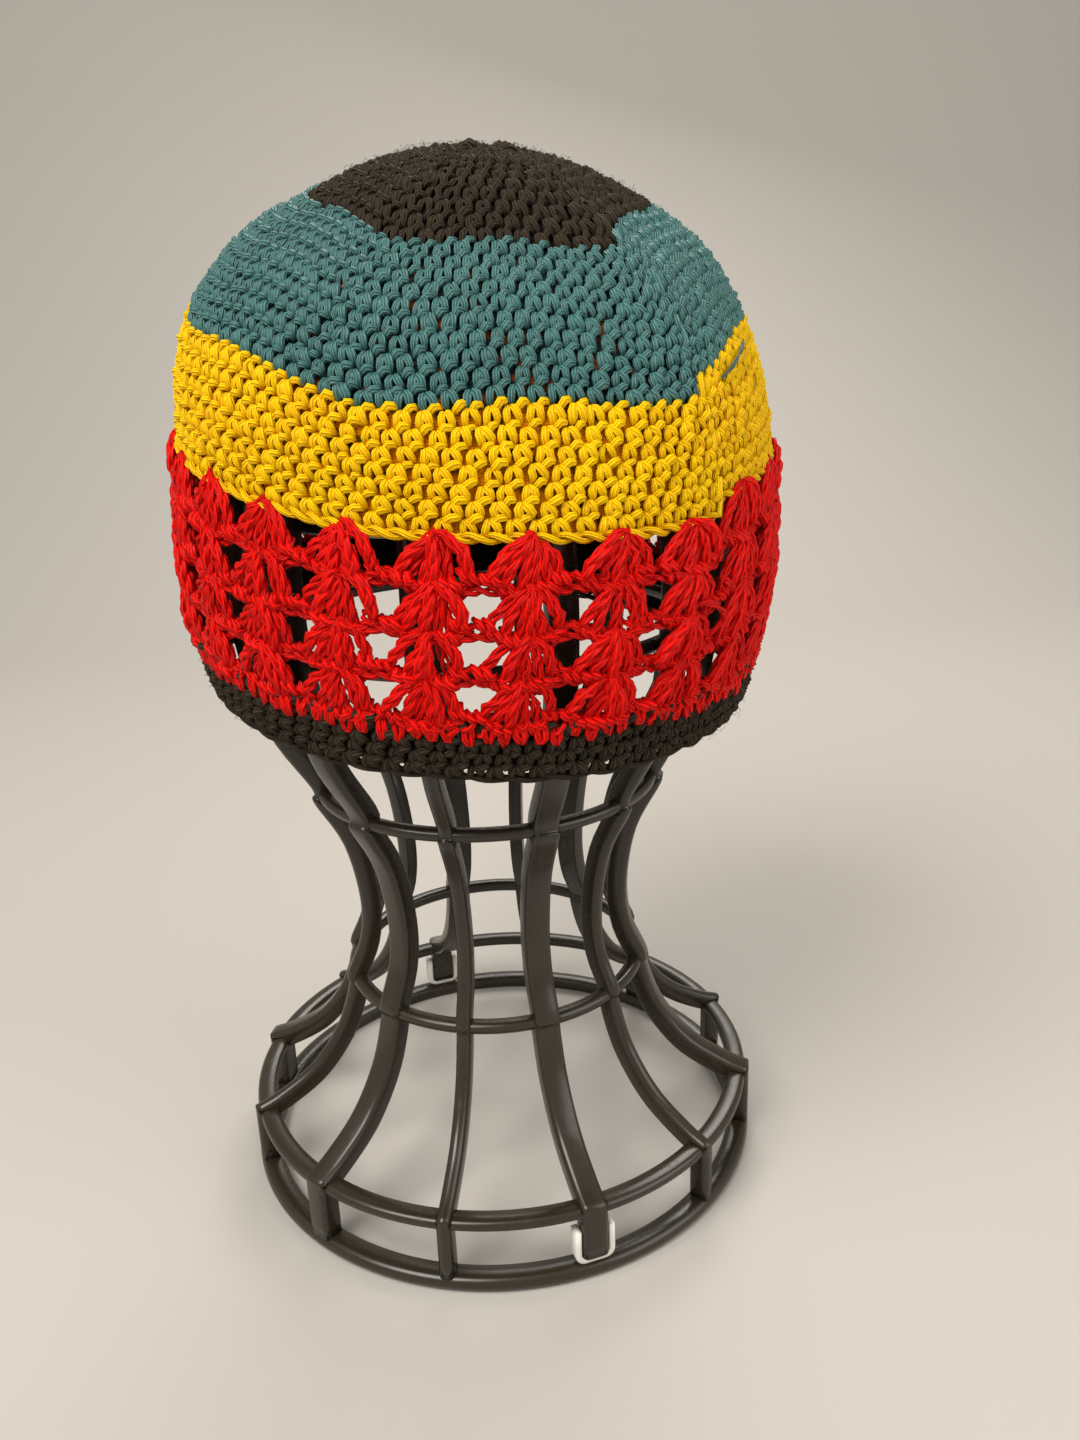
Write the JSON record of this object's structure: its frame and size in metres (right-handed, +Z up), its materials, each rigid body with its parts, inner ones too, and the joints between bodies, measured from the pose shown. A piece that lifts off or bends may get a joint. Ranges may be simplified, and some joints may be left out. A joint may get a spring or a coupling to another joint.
{
  "type": "rasta tam on a cage hat stand",
  "caption": "Crocheted cap with a rounded hexagonal crown, banded in black, green, yellow and open red lace with a black hem, resting on a moulded cage hat stand",
  "frame": {"origin": "centre of the bounding box's base, on the surface that the stand rests on", "axes": "+Z up along the stand's axis, -Y towards the lower, front side of the cap, +X to the wearer's left"},
  "size_m": [0.1818, 0.18, 0.3285],
  "materials": {
    "stand_plastic": "dark brown-black moulded plastic, semi-gloss",
    "clip_plastic": "off-white plastic",
    "black_yarn": "black crochet cotton",
    "green_yarn": "blue-green crochet cotton",
    "yellow_yarn": "golden yellow crochet cotton",
    "red_yarn": "bright red crochet cotton"
  },
  "bodies": {
    "root": {"base_ring": "stand_plastic", "base_rail": "stand_plastic", "waist_ring": "stand_plastic", "neck_ring": "stand_plastic", "cage_bar_low": "stand_plastic", "cage_bar_high": "stand_plastic", "cage_cap": "stand_plastic", "wide_rib_1": "stand_plastic", "wide_rib_2": "stand_plastic", "wide_rib_3": "stand_plastic", "wide_rib_4": "stand_plastic", "wide_rib_5": "stand_plastic", "wide_rib_6": "stand_plastic", "narrow_rib_1": "stand_plastic", "narrow_rib_2": "stand_plastic", "narrow_rib_3": "stand_plastic", "narrow_rib_4": "stand_plastic", "narrow_rib_5": "stand_plastic", "narrow_rib_6": "stand_plastic", "front_clip": "clip_plastic", "back_clip": "clip_plastic", "crown_top": "black_yarn", "green_band": "green_yarn", "yellow_band": "yellow_yarn", "red_lace": "red_yarn", "black_hem": "black_yarn"}
  },
  "joints": []
}
